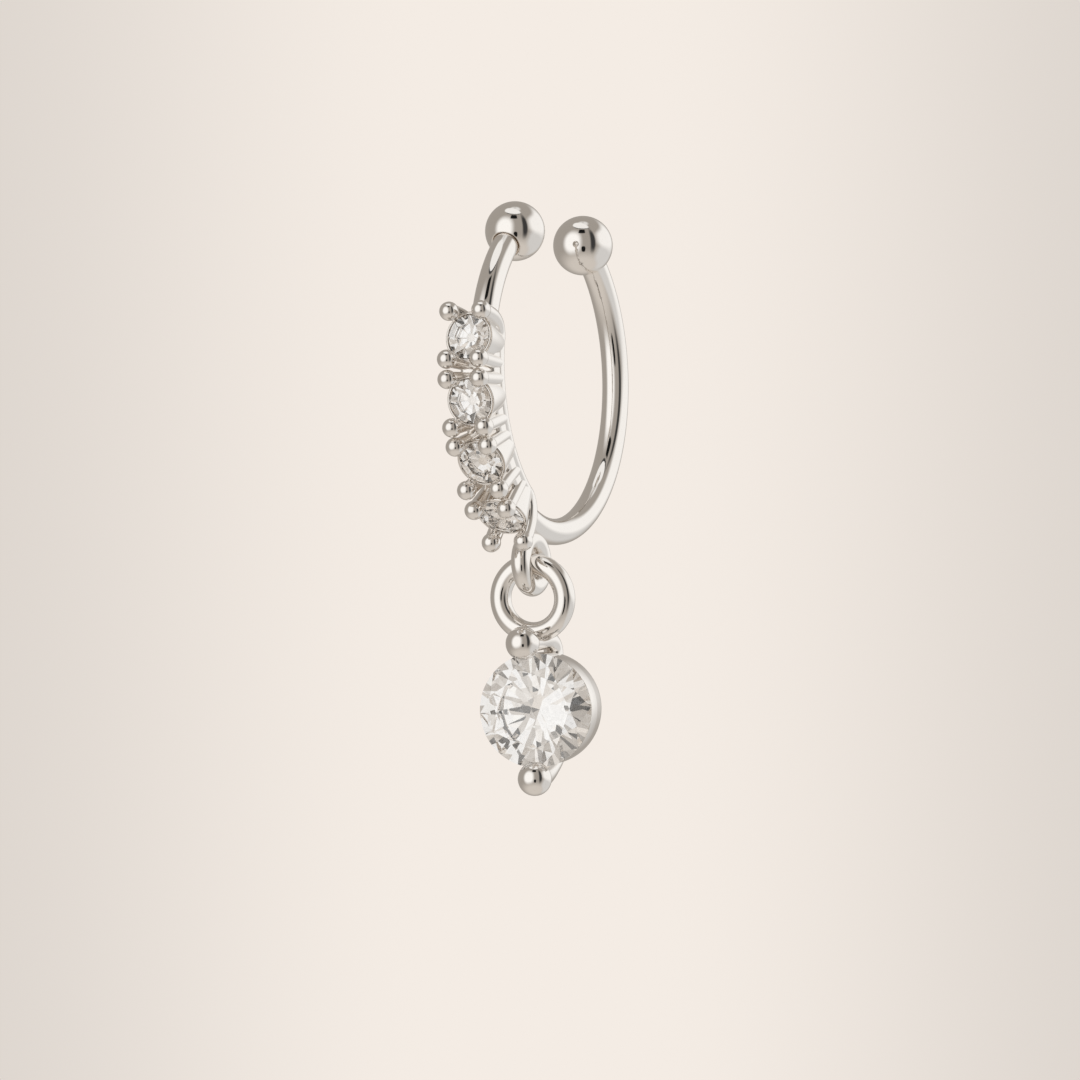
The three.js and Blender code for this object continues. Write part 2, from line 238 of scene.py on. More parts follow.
def facing_out(points, faces):
    """The faces, turned round if the volume that they enclose comes out negative."""
    volume = 0.0
    for face in faces:
        corners = points[np.asarray(face)]
        for n in range(1, corners.shape[-2] - 1):
            a, b, c = (corners[..., i, :] for i in (0, n, n + 1))
            volume += float(np.sum(a * np.cross(b, c)))
    return faces if volume > 0 else [np.asarray(face)[..., ::-1] for face in faces]


def skin(rings, wrap=False):
    """A closed skin over rings of points, an array (rings, points round, 3). Where the rings
    don't wrap, a point at the middle of the first and of the last one closes it."""
    rows, columns = rings.shape[:2]
    points = rings.reshape(-1, 3)
    faces = [quads(rows, columns, wrap)]
    if not wrap:
        points = np.vstack([points, rings[0].mean(0), rings[-1].mean(0)])
        column = np.arange(columns)
        beside = (column + 1) % columns
        first, last = np.full(columns, len(points) - 2), np.full(columns, len(points) - 1)
        end = (rows - 1) * columns
        faces.append(np.stack([beside, column, first], -1))
        faces.append(np.stack([end + column, end + beside, last], -1))
    return points, facing_out(points, faces)


def turned(profile, seat, sides, wrap=False):
    """A profile of (radius, height) turned about the seat's third axis: a point is its radius
    times the cosine and sine of the turn, and its height."""
    turn = np.arange(sides) * FULL_TURN / sides
    radius, height = profile[:, :1], profile[:, 1:]
    local = np.stack([radius * np.cos(turn), radius * np.sin(turn),
                      np.broadcast_to(height, (len(profile), sides))], -1)
    return skin(place(local, seat), wrap)


def swept(path, radii, across, sides, wrap=False):
    """A round tube: at each point of the path a circle of its radius stands square to the
    path, started from the direction that is square to both the path and across."""
    if wrap:
        along = unit(np.roll(path, -1, 0) - np.roll(path, 1, 0))
    else:
        along = unit(np.gradient(path, axis=0))
    normal = unit(np.cross(across, along))
    beside = np.cross(along, normal)
    turn = (np.arange(sides) * FULL_TURN / sides)[None, :, None]
    circle = np.cos(turn) * normal[:, None, :] + np.sin(turn) * beside[:, None, :]
    radii = np.broadcast_to(radii, len(path)).reshape(-1, 1, 1)
    return skin(path[:, None, :] + radii * circle, wrap)


def rounded(corners, radii, steps):
    """A closed outline with its corners rounded. Each corner gives way to an arc of its
    radius that touches both edges, drawn by turning from one touching point to the other."""
    corners = np.asarray(corners, float)
    radii = np.broadcast_to(np.asarray(radii, float), len(corners))[:, None]
    back = unit(np.roll(corners, 1, 0) - corners)
    ahead = unit(np.roll(corners, -1, 0) - corners)
    half = np.arccos(np.clip(np.sum(back * ahead, -1, keepdims=True), -1, 1)) / 2
    middle = corners + unit(back + ahead) * radii / np.sin(half)
    touch = radii / np.tan(half)
    start, end = corners + back * touch - middle, corners + ahead * touch - middle
    sweep = math.pi - 2 * half
    k = np.linspace(0, 1, steps)[None, :, None]
    sweep = sweep[:, None, :]
    arc = (np.sin((1 - k) * sweep) * start[:, None, :] + np.sin(k * sweep) * end[:, None, :])
    return (middle[:, None, :] + arc / np.sin(sweep)).reshape(-1, 2)


def path_length(points):
    return float(np.sum(np.linalg.norm(np.diff(points, axis=0), axis=1)))


def along_path(points, distances):
    """Points at given distances along a line of points, straight on past both its ends."""
    steps = np.linalg.norm(np.diff(points, axis=0), axis=1)
    reach = np.concatenate([[0], np.cumsum(steps)])
    inside = np.stack([np.interp(distances, reach, points[:, i]) for i in range(3)], -1)
    past = np.maximum(distances - reach[-1], 0)[:, None]
    short = np.minimum(distances, 0)[:, None]
    return (inside + past * unit(points[-1] - points[-2])
            + short * unit(points[1] - points[0]))


def smooth_curve(points, steps):
    """A curve through points: between two of them, a cubic whose slope at each point is half
    the way from the point before to the point after."""
    padded = np.vstack([2 * points[0] - points[1], points, 2 * points[-1] - points[-2]])
    a, b, c, d = (padded[i:len(padded) - 3 + i, None, :] for i in range(4))
    t = np.linspace(0, 1, steps, endpoint=False)[None, :, None]
    cubic = 0.5 * (2 * b + (c - a) * t + (2 * a - 5 * b + 4 * c - d) * t ** 2
                   + (3 * b - a - 3 * c + d) * t ** 3)
    return np.vstack([cubic.reshape(-1, points.shape[1]), points[-1]])


def smooth_larger(a, b, blend):
    """The larger of two arrays, with the corner between them filled over a blend length: by
    a quarter of it, times the square of one less their difference as a share of it."""
    near = np.maximum(blend - np.abs(a - b), 0) / blend
    return np.maximum(a, b) + near * near * blend / 4


BALL_FROM = 0.8  # where the ball's steps start, before its middle, as a share of its radius
WIRE_TO = 0.85  # where the wire's steps stop, in the same way
BALL_POLE = 0.01  # the radius at which a ball's skin closes, as a share of the ball's


def ball_ends(reach, root, neck, ball, blend, both):
    """Distances along a claw and its radius there. The wire grows evenly from its root's
    radius to its neck's. At its tip (or both tips) it has a ball, whose radius is the root of
    its own squared less the distance from its middle squared. The neck is filled over the
    blend."""
    before_middle = ball * np.cos(np.linspace(math.acos(BALL_FROM), math.pi, BALL_STEPS))
    even = np.linspace(0, reach, CLAW_STEPS)
    ahead, behind = reach - ball * WIRE_TO, ball * WIRE_TO if both else -1.0
    distances = [even[(even < ahead) & (even > behind)], reach - before_middle]
    if both:
        distances.insert(0, before_middle[::-1])
    distances = np.concatenate(distances)
    from_tip = reach - distances
    if both:
        from_tip = np.minimum(from_tip, distances)
    wire = root + (neck - root) * np.clip(distances / reach, 0, 1)
    sphere = np.sqrt(np.maximum(ball ** 2 - from_tip ** 2, 0))
    radii = np.where(from_tip > 0, smooth_larger(sphere, wire, blend), sphere)
    return distances, np.maximum(radii, ball * BALL_POLE)


def ball_wire(line, root, neck, sizes, across, sides, both=False):
    """A round wire along a line of points, with a ball on its tip or on both its ends."""
    distances, radii = ball_ends(path_length(line), root, neck, sizes.ball_radius,
                                 sizes.neck_blend, both)
    return swept(along_path(line, distances), radii, across, sides)


def cup(outline, seat, steps, sides):
    """A stone's cup: the closed outline of its wall, as (radius, height, rounding) in
    millimetres, with its corners rounded, turned about the stone's axis."""
    outline = np.array(outline) * MM
    return turned(rounded(outline[:, :2], outline[:, 2], steps), seat, sides, wrap=True)


def joined(parts):
    """Several closed skins as one set of points and faces."""
    points, faces, start = [], [], 0
    for part_points, part_faces in parts:
        points.append(part_points)
        faces.extend([np.asarray(face) + start for face in part_faces])
        start += len(part_points)
    return np.vstack(points), faces


def new_piece(name, part, material, body, stands_for, smooth=True):
    """A mesh piece from points and faces, riding on a body in place of its CAD nodes."""
    points, faces = part
    corners = [corner for face in faces for corner in np.atleast_2d(face).tolist()]
    mesh = bpy.data.meshes.new(name)
    mesh.from_pydata(points.tolist(), [], corners)
    mesh.validate()
    mesh.polygons.foreach_set("use_smooth", np.full(len(mesh.polygons), smooth))
    mesh.materials.append(material)
    piece = bpy.data.objects.new(name, mesh)
    bpy.context.scene.collection.objects.link(piece)
    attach(piece, body)
    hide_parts(*stands_for)
    return piece


# Hoop -------------------------------------------------


def hoop_points(hoop, angles):
    """Half the width times the sine, and half the height times minus the cosine, of the
    angle from straight down, about the hoop's middle."""
    angles = np.atleast_1d(np.asarray(angles, float))
    middle = -hoop.half_height * math.cos(hoop.gap_half_angle)
    return np.stack([hoop.half_width * np.sin(angles), 0 * angles,
                     middle - hoop.half_height * np.cos(angles)], -1)


def hoop_directions(hoop, angles):
    """Unit vectors along the hoop and outward from it."""
    angles = np.atleast_1d(np.asarray(angles, float))
    along = unit(np.stack([hoop.half_width * np.cos(angles), 0 * angles,
                           hoop.half_height * np.sin(angles)], -1))
    outward = np.stack([along[:, 2], 0 * angles, -along[:, 0]], -1)
    return along, outward


def wire_end_angle(hoop):
    """The angle from straight down at which the wire ends, inside a bead."""
    return (math.pi - hoop.gap_half_angle
            - (BEAD_RADIUS - hoop.socket_depth) / hoop.half_height)


def hoop_wire(hoop):
    """The wire: a circle carried along the oval, with flat ends inside the beads."""
    end = wire_end_angle(hoop)
    path = hoop_points(hoop, np.linspace(-end, end, HOOP_STEPS))
    return swept(path, hoop.wire_radius, WORLD_ACROSS, HOOP_SIDES)


def bead(hoop, side):
    """A drilled bead: a ball's outline from its far pole to the hole, over the hole's
    rounded lip and down to its floor, turned about the line to where the wire comes in."""
    middle_angle = side * (math.pi - hoop.gap_half_angle)
    middle = hoop_points(hoop, middle_angle)[0]
    mouth = hoop_points(hoop, middle_angle - side * BEAD_RADIUS / hoop.half_height)[0]
    axis = unit(mouth - middle)
    seat = (middle, np.array([WORLD_ACROSS, np.cross(axis, WORLD_ACROSS), axis]))
    hole = hoop.wire_radius + hoop.socket_gap
    lip = hoop.socket_lip
    lip_radius = hole + lip
    lip_height = math.sqrt((BEAD_RADIUS - lip) ** 2 - lip_radius ** 2)
    lip_turn = math.atan2(lip_radius, lip_height)
    polar = np.linspace(math.pi - BALL_POLE, lip_turn, BEAD_STEPS)
    ball = np.stack([np.sin(polar), np.cos(polar)], -1) * BEAD_RADIUS
    bend = np.linspace(math.pi / 2 - lip_turn, math.pi, BEAD_LIP_STEPS)[1:]
    edge = np.array([lip_radius, lip_height]) + lip * np.stack([np.cos(bend), np.sin(bend)], -1)
    floor = BEAD_RADIUS - hoop.socket_depth - hoop.socket_gap
    inside = np.array([[hole, floor], [hole * 0.5, floor]])
    return turned(np.vstack([ball, edge, inside]), seat, BEAD_SIDES)


# Stone row --------------------------------------------

# The stones' seats: the angle from straight down, in degrees, and how far the feet of a
# seat's claws are set on towards the row's end, in millimetres.
ROW_SEATS = (
    # angle, feet onward
    (-96.4, 0.0),
    (-76.7, 0.1),
    (-57.0, 0.25),
    (-35.8, 0.3),
)


def row_seat(hoop, index):
    """A row stone's seat: across the row, along it and outward, from the wire's middle."""
    angle_down = math.radians(ROW_SEATS[index][0])
    along, outward = (rows[0] for rows in hoop_directions(hoop, angle_down))
    return hoop_points(hoop, angle_down)[0], np.array([WORLD_ACROSS, along, outward])


BAND_EDGE = 0.05  # the band's thickness at its very ends, as a share of its own


def row_band(hoop, row):
    """The band under the stones: a rounded rectangle carried along the oval, whose width
    eases in at both ends as a quarter circle does."""
    crowded = 0.5 - 0.5 * np.cos(np.linspace(0, math.pi, BAND_STEPS))
    angles = row.band_start + crowded * (row.band_end - row.band_start)
    from_end = hoop.half_height * np.minimum(angles - row.band_start, row.band_end - angles)
    ease = np.sqrt(1 - (1 - np.minimum(from_end / row.band_taper, 1)) ** 2)[:, None]
    corners = np.array([[1, -1], [1, 1], [-1, 1], [-1, -1]])
    inner, outer = row.band_inner_edge, row.band_outer_edge
    outline = rounded(corners * [row.band_half_width, row.band_half_thickness],
                      [inner, outer, outer, inner], LARGE_CORNER)
    across = outline[:, 0] * (row.band_tip + (1 - row.band_tip) * ease)
    height = outline[:, 1] * np.maximum(ease, BAND_EDGE)
    _, outward = hoop_directions(hoop, angles)
    rings = (hoop_points(hoop, angles)[:, None, :] + across[..., None] * WORLD_ACROSS
             + height[..., None] * outward[:, None, :])
    return skin(rings)


# A row stone's cup: a wall that opens from the rails to the girdle, a fine groove under its
# rim and a bearing inside. Heights are above the wire's middle.
ROW_CUP = (
    # radius, height, rounding
    (0.2, -0.25, 0.02),
    (0.72, -0.25, 0.05),
    (0.885, 1.01, 0.015),
    (0.86, 1.05, 0.008),
    (0.84, 0.97, 0.004),
    (0.83, 1.08, 0.012),
    (0.79, 1.08, 0.015),
    (0.785, 0.9, 0.05),
    (0.45, 0.4, 0.05),
    (0.2, 0.3, 0.03),
)


def row_cups(hoop):
    """The cups of the row, each turned about its own stone."""
    return joined([cup(ROW_CUP, row_seat(hoop, index), SMALL_CORNER, ROW_CUP_SIDES)
                   for index in range(len(ROW_SEATS))])


def row_claw(hoop, row, index, side, way):
    """An inner claw: straight from its foot on the rail, past the girdle, to its ball."""
    onward = way * ROW_SEATS[index][1] * MM
    table = np.array([
        # side, along, height
        [row.rail_side, row.foot_along + onward, row.rail_height],
        [row.tip_side, row.tip_along, row.tip_height]])
    line = place(table * [side, way, 1], row_seat(hoop, index))
    return ball_wire(line, row.claw_radius, row.claw_radius, row, WORLD_ACROSS, ROW_CLAW_SIDES)


# The middle line of an end claw, from under its ball down to the rail, in millimetres.
END_CLAW = (
    # side, along, height
    (0.595, 0.845, 1.0),
    (0.55, 0.8, 0.45),
    (0.49, 0.64, 0.02),
)


def row_rail(hoop, row, side):
    """A rail with its two end claws, one tube: down from the first ball, along the oval
    beside the band, and out again to the last ball."""
    angles = np.linspace(row.rail_start, row.rail_end, 24)
    _, outward = hoop_directions(hoop, angles)
    along_hoop = (hoop_points(hoop, angles) + row.rail_height * outward
                  + side * row.rail_side * WORLD_ACROSS)
    tip = [row.tip_side, row.tip_along, row.tip_height]
    table = np.vstack([tip, np.array(END_CLAW) * MM])
    first = place(table * [side, -1, 1], row_seat(hoop, 0))
    last = place(table * [side, 1, 1], row_seat(hoop, len(ROW_SEATS) - 1))
    line = smooth_curve(np.vstack([first, along_hoop, last[::-1]]), 10)
    return ball_wire(line, row.rail_radius, row.rail_radius, row, WORLD_ACROSS,
                     ROW_CLAW_SIDES, both=True)


def row_claws(hoop, row):
    """Both rails with the four end claws, and the inner claws between them."""
    claws = [row_rail(hoop, row, side) for side in (-1, 1)]
    last = len(ROW_SEATS) - 1
    for index in range(last + 1):
        for side in (-1, 1):
            for way in (-1, 1):
                if (index, way) not in ((0, -1), (last, 1)):
                    claws.append(row_claw(hoop, row, index, side, way))
    return joined(claws)


# Stones -----------------------------------------------


def ring_at(radius, height, count, offset=0.0):
    """Points evenly round the third axis, the first turned by an offset."""
    turn = offset + np.arange(count) * FULL_TURN / count
    return np.stack([radius * np.cos(turn), radius * np.sin(turn),
                     np.broadcast_to(height, count)], -1)


def girdle_heights(cut, meet_radius, meet_height):
    """Heights of the outline where the half facets cut it. A half facet is the plane through
    its meeting point and two points of the edge a sixteenth of a turn apart, so between
    those two the round outline dips."""
    half_step = EIGHTH / 2
    meet = np.array([meet_radius * math.cos(half_step), meet_radius * math.sin(half_step),
                     meet_height])
    one = np.array([1.0, 0.0, cut.girdle])
    two = np.array([math.cos(half_step), math.sin(half_step), cut.girdle])
    normal = np.cross(two - one, meet - one)
    turn = np.arange(cut.outline) * FULL_TURN / cut.outline
    folded = np.abs((turn + half_step) % EIGHTH - half_step)
    flat = (normal[0] * (np.cos(folded) - 1) + normal[1] * np.sin(folded)) / normal[2]
    return cut.girdle - flat


def brilliant(cut, radius, seat):
    """A round brilliant in shares of its radius: an eight-sided table, eight stars, eight
    mains and sixteen halves over the girdle, sixteen halves and eight mains under it."""
    half_cos = math.cos(EIGHTH / 2)
    table_height = cut.girdle + cut.crown
    slope = cut.crown / (1 - cut.table)
    star_height = cut.girdle + (1 - cut.star * half_cos) * slope
    lower_height = cut.girdle + (1 - cut.lower_half * half_cos) * cut.pavilion
    top = girdle_heights(cut, cut.star, star_height)
    bottom = -girdle_heights(cut, cut.lower_half, lower_height)
    rings = [ring_at(cut.table, table_height, 8), ring_at(cut.star, star_height, 8, EIGHTH / 2),
             ring_at(1.0, top, cut.outline), ring_at(1.0, bottom, cut.outline),
             ring_at(cut.lower_half, -lower_height, 8, EIGHTH / 2),
             np.array([[0.0, 0.0, -cut.girdle - cut.pavilion]])]
    starts = np.cumsum([0] + [len(ring) for ring in rings])
    table, star, upper, lower, meet, point = starts[:6]
    sector = cut.outline // 16
    edge = np.arange(cut.outline)
    faces = [np.arange(8)[None, :]]
    faces.append(np.stack([upper + edge, lower + edge, lower + (edge + 1) % cut.outline,
                           upper + (edge + 1) % cut.outline], -1))
    k = np.arange(8)
    after, before = (k + 1) % 8, (k - 1) % 8
    main = 2 * sector * k
    faces.append(np.stack([table + k, star + k, table + after], -1))
    faces.append(np.stack([table + k, star + before, upper + main, star + k], -1))
    faces.append(np.stack([point + 0 * k, meet + k, lower + main, meet + before], -1))
    for half in (0, 1):
        arc = (main[:, None] + half * sector + np.arange(sector + 1)) % cut.outline
        faces.append(np.concatenate([star + k[:, None], upper + arc], 1))
        faces.append(np.concatenate([meet + k[:, None], (lower + arc)[:, ::-1]], 1))
    points = np.vstack(rings) * radius
    return place(points, seat), faces


def single_cut(cut, radius, seat):
    """A small round stone in shares of its radius: an eight-sided table, eight facets over
    the girdle and eight that meet in a point under it. Each facet is a plane through two
    points of the edge an eighth of a turn apart. Between them the edge dips, by how far it
    lies beyond their chord, times the facet's slope."""
    half_cos = math.cos(EIGHTH / 2)
    turn = np.arange(cut.outline) * FULL_TURN / cut.outline
    beyond = np.cos(turn % EIGHTH - EIGHTH / 2) - half_cos
    top = cut.small_girdle - beyond * cut.crown / (half_cos * (1 - cut.small_table))
    bottom = beyond * cut.pavilion / half_cos - cut.small_girdle
    rings = [ring_at(cut.small_table, cut.small_girdle + cut.crown, 8),
             ring_at(1.0, top, cut.outline), ring_at(1.0, bottom, cut.outline),
             np.array([[0.0, 0.0, -cut.small_girdle - cut.pavilion]])]
    upper, lower = 8, 8 + cut.outline
    point = lower + cut.outline
    edge, k = np.arange(cut.outline), np.arange(8)
    ahead = (edge + 1) % cut.outline
    sector = cut.outline // 8
    arc = (k[:, None] * sector + np.arange(sector + 1)) % cut.outline
    faces = [k[None, :],
             np.stack([upper + edge, lower + edge, lower + ahead, upper + ahead], -1),
             np.concatenate([(k[:, None] + 1) % 8, k[:, None], upper + arc], 1),
             np.concatenate([np.full((8, 1), point), (lower + arc)[:, ::-1]], 1)]
    return place(np.vstack(rings) * radius, seat), faces


def lifted(seat, height):
    """A seat moved out along its third axis."""
    origin, axes = seat
    return origin + height * axes[2], axes


# Drop -------------------------------------------------


def drop_seat(drop):
    """The drop's seat: across it, up, and out of its face, from the lowest wire of the eye."""
    facing = np.array([-math.cos(drop.yaw), -math.sin(drop.yaw), 0.0])
    front = facing * math.cos(drop.pitch) - np.array([0, 0, math.sin(drop.pitch)])
    across = unit(np.cross([0.0, 0.0, 1.0], facing))
    up = np.cross(front, across)
    c, s = math.cos(drop.lean), math.sin(drop.lean)
    lean = np.array([[1, 0, 0], [0, c, -s], [0, s, c]])
    axes = np.array([across, up, front]) @ lean.T
    return SWING_POINT + np.array([drop.off_centre, 0, 0]), axes


def head_seat(drop):
    """The head's seat: the drop's, moved down to the stone's axis."""
    origin, axes = drop_seat(drop)
    return origin - drop.stone_below * axes[1], axes


def cup_seat(drop):
    """The cup's seat: the head's, turned about its second axis."""
    origin, axes = head_seat(drop)
    c, s = math.cos(drop.cup_turn), math.sin(drop.cup_turn)
    return origin, np.array([[c, 0, -s], [0, 1, 0], [s, 0, c]]) @ axes


def round_link(middle, radius, wire_radius, across, toward):
    """A ring of round wire: a circle carried round a circle."""
    around = ring_at(radius, 0.0, LINK_STEPS)
    path = place(around, (middle, np.array([toward, np.cross(across, toward), across])))
    return swept(path, wire_radius, across, LINK_SIDES, wrap=True)


def eye(drop):
    """The eye: a ring of wire in the hoop's plane, its lowest wire on the swing's axis."""
    middle = SWING_POINT + np.array([0, 0, drop.eye_radius])
    return round_link(middle, drop.eye_radius, drop.eye_wire_radius, WORLD_ACROSS,
                      np.array([0.0, 0.0, 1.0]))


def drop_link(drop):
    """The drop's ring: a ring of wire in the drop's plane, its top just off the eye's wire."""
    origin, axes = drop_seat(drop)
    top = drop.eye_wire_radius + drop.ring_wire_radius + drop.ring_gap
    middle = origin + (top - drop.ring_radius) * axes[1]
    return round_link(middle, drop.ring_radius, drop.ring_wire_radius, axes[2], axes[1])


# The drop's cup: a rounded bowl that holds the stone under its edge, with a foot rim round
# the hole in its back. Heights are out of the drop ring's plane.
DROP_CUP = (
    # radius, height, rounding
    (1.52, 0.12, 0.04),
    (1.45, -0.8, 0.3),
    (1.1, -1.55, 0.05),
    (1.2, -1.74, 0.08),
    (1.55, -1.62, 0.3),
    (1.92, -1.05, 0.6),
    (1.93, -0.3, 0.5),
    (1.9, 0.44, 0.03),
)

# The drop claws' middle lines from the cup's back to the ball, as the distance from the
# stone's axis and out of the drop ring's plane, and their radius at each end of the wire.
DROP_CLAWS = (
    # way, root radius, neck radius, line
    (UP, 0.33, 0.33, ((1.4, -1.5), (2.0, -1.55), (2.3, -1.1), (2.32, 0.1), (2.32, 1.2))),
    (DOWN, 0.18, 0.46, ((1.35, -1.6), (1.72, -1.35), (2.02, -0.65), (2.24, 0.1), (2.32, 0.92))),
)


def drop_claw(drop, way, root, neck, line):
    """A drop claw: a wire with a ball end, on a curve through its named points."""
    table = np.array(line) * MM
    local = np.stack([0 * table[:, 0], way * table[:, 0], table[:, 1]], -1)
    seat = head_seat(drop)
    curve = place(smooth_curve(local, 24), seat)
    return ball_wire(curve, root * MM, neck * MM, drop, seat[1][0], DROP_CLAW_SIDES)


# Materials --------------------------------------------

# Noise, in patches to the metre: soft ones and polishing marks on the plating, clouds in the
# stones and a mottle on the floor.
PATCHES, MARKS, CLOUDS, MOTTLE = 700.0, 9000.0, 1500.0, 60.0
PATCHES_SHARE, MARKS_SHARE = 0.7, 0.3  # their shares in the gloss
NOISE_LOW, NOISE_HIGH = 0.25, 0.75  # the noise's usual range
GLOSSIEST = 0.3  # the least roughness, as a share of the most
MARK_STRENGTH, MARK_HEIGHT = 0.04, 0.01 * MM
SURFACE_SHADE, CLOUD_SHADE = 0.97, 0.985  # the darkest tone, as a share of the colour
ZIRCONIA_INDEX = 2.15
FLOOR_FADE = (1.0, 0.35)  # from nothing to all of the floor, as shares of its radius


def new_material(name):
    material = bpy.data.materials.new(name)
    material.use_nodes = True
    tree = material.node_tree
    return material, tree, tree.nodes["Principled BSDF"]


def shader_maths(tree):
    """A function that adds a maths node to a tree and gives its result. Its values are
    numbers or other nodes' sockets."""
    def maths(operation, *values):
        node = tree.nodes.new("ShaderNodeMath")
        node.operation = operation
        for socket, value in zip(node.inputs, values):
            if isinstance(value, (int, float)):
                socket.default_value = value
            else:
                tree.links.new(value, socket)
        return node.outputs[0]
    return maths


def ramp(tree, value, start, end, low=0.0, high=1.0):
    """A value's smooth way from low to high, between start and end."""
    node = tree.nodes.new("ShaderNodeMapRange")
    node.interpolation_type = "SMOOTHSTEP"
    for name, number in (("From Min", start), ("From Max", end), ("To Min", low),
                         ("To Max", high)):
        if isinstance(number, (int, float)):
            node.inputs[name].default_value = number
        else:
            tree.links.new(number, node.inputs[name])
    tree.links.new(value, node.inputs["Value"])
    return node.outputs["Result"]


def mixed(tree, share_of_second, first, second):
    """A node that mixes two colours, each a colour or another node's socket."""
    node = tree.nodes.new("ShaderNodeMix")
    node.data_type = "RGBA"
    sockets = [socket for socket in node.inputs if socket.type == "RGBA"]
    for socket, given in zip(sockets, (first, second)):
        if isinstance(given, tuple):
            socket.default_value = (*given, 1)
        else:
            tree.links.new(given, socket)
    tree.links.new(share_of_second, node.inputs[0])
    return next(socket for socket in node.outputs if socket.type == "RGBA")


def noise(tree, scale, detail=2.0):
    """Soft noise on a piece's own coordinates, in patches so many to the metre."""
    node = tree.nodes.new("ShaderNodeTexNoise")
    node.inputs["Scale"].default_value = scale
    node.inputs["Detail"].default_value = detail
    own = tree.nodes.new("ShaderNodeTexCoord").outputs["Object"]
    tree.links.new(own, node.inputs["Vector"])
    return node.outputs["Fac"]


def darker(shade, by):
    """A colour times a share."""
    return tuple(value * by for value in shade)


def metal_finish(finish, name="polished_plating", dullest=0.07, grain=0.0):
    """Mirror-polished plating. Its gloss varies in soft patches and in fine polishing marks,
    and the marks raise its surface a very little."""
    found = bpy.data.materials.get(name)
    if found:
        return found
    material, tree, shader = new_material(name)
    maths = shader_maths(tree)
    patches, marks = noise(tree, PATCHES), noise(tree, MARKS, 3.0)
    rough = maths("ADD", maths("MULTIPLY", patches, PATCHES_SHARE),
                  maths("MULTIPLY", marks, MARKS_SHARE))
    tree.links.new(ramp(tree, rough, NOISE_LOW, NOISE_HIGH, dullest * GLOSSIEST, dullest),
                   shader.inputs["Roughness"])
    pale = tuple(finish.metal)
    tree.links.new(mixed(tree, patches, pale, darker(pale, SURFACE_SHADE)),
                   shader.inputs["Base Color"])
    shader.inputs["Metallic"].default_value = 1.0
    bump = tree.nodes.new("ShaderNodeBump")
    bump.inputs["Strength"].default_value = MARK_STRENGTH + grain
    bump.inputs["Distance"].default_value = MARK_HEIGHT
    tree.links.new(marks, bump.inputs["Height"])
    tree.links.new(bump.outputs["Normal"], shader.inputs["Normal"])
    return material


def cast_finish(finish):
    """The plating of the cast settings, a little softer in its gloss than the wire's."""
    return metal_finish(finish, "cast_plating", dullest=0.1, grain=0.02)


def stone_finish(finish):
    """Clear stone that bends light as cubic zirconia does, with a breath of cloud in it."""
    found = bpy.data.materials.get("clear_zirconia")
    if found:
        return found
    material, tree, shader = new_material("clear_zirconia")
    clear = tuple(finish.stone)
    tree.links.new(mixed(tree, noise(tree, CLOUDS), clear, darker(clear, CLOUD_SHADE)),
                   shader.inputs["Base Color"])
    shader.inputs["Transmission Weight"].default_value = 1.0
    shader.inputs["IOR"].default_value = ZIRCONIA_INDEX
    shader.inputs["Roughness"].default_value = 0.0
    return material


# Studio -----------------------------------------------

# The light tent, as panels seen from the ring. Angles are in degrees: round from the
# camera's side to its right, and up from the horizon. Softness is a share of the half
# sizes. Squareness is 2 for an ellipse and more for a rounded rectangle.
PANELS = (
    # name, round, up, half width, half height, soft, squareness, brightness
    ("zenith", 0, 90, 180, 13, 0.3, 8, 0.85),
    ("top panel", -35, 82, 88, 19, 0.08, 5, 1.0),
    ("seam", -15, 63, 55, 1.3, 0.4, 5, 0.06),
    ("left panel", -43, 8, 34, 38, 0.36, 2.6, 1.12),
    ("low right", 108, -24, 48, 27, 0.3, 3, 0.72),
    ("right panel", 107, 20, 49, 24, 0.32, 3, 1.05),
    ("dark corner", 40, 15, 10, 40, 0.4, 3, 0.05),
    ("top flag", -6, 51, 17, 8, 0.12, 6, 0.01),
    ("low flag", 2, -19, 8, 11, 0.15, 3, 0.01),
)
PANEL_TINT = (1.0, 0.99, 0.975)
LOW_TENT, HIGH_TENT = (0.70, 0.652, 0.60), (0.405, 0.373, 0.338)
TENT_SHADE = (-62.0, -12.0)  # the elevations between which the tent darkens
BACKDROP_SHADE = (0.004, 0.026)  # where painted shade darkens the backdrop, as a sine of the way aside
BACKDROP_SIDE_SHADE = 0.8  # how bright its painted-shade sides are, as a share of its middle


def panel_mask():
    """A node group: how much a direction lies in a panel. The distances from the panel's
    middle, round and up, are shares of its half sizes. Each is raised to the squareness,
    and the root of their sum is compared with one, over the soft edge."""
    found = bpy.data.node_groups.get("studio_panel")
    if found:
        return found
    group = bpy.data.node_groups.new("studio_panel", "ShaderNodeTree")
    for name in ("Round", "Up", "Middle Round", "Middle Up", "Half Width", "Half Height", "Soft",
                 "Squareness"):
        group.interface.new_socket(name=name, in_out="INPUT", socket_type="NodeSocketFloat")
    group.interface.new_socket(name="Mask", in_out="OUTPUT", socket_type="NodeSocketFloat")
    given = group.nodes.new("NodeGroupInput").outputs
    result = group.nodes.new("NodeGroupOutput")
    maths = shader_maths(group)
    turn = maths("WRAP", maths("SUBTRACT", given["Round"], given["Middle Round"]), 180.0, -180.0)
    aside = maths("DIVIDE", maths("ABSOLUTE", turn), given["Half Width"])
    rise = maths("SUBTRACT", given["Up"], given["Middle Up"])
    above = maths("DIVIDE", maths("ABSOLUTE", rise), given["Half Height"])
    total = maths("ADD", maths("POWER", aside, given["Squareness"]),
                  maths("POWER", above, given["Squareness"]))
    distance = maths("POWER", total, maths("DIVIDE", 1.0, given["Squareness"]))
    mask = ramp(group, distance, maths("ADD", 1.0, given["Soft"]),
                maths("SUBTRACT", 1.0, given["Soft"]))
    group.links.new(mask, result.inputs["Mask"])
    return group


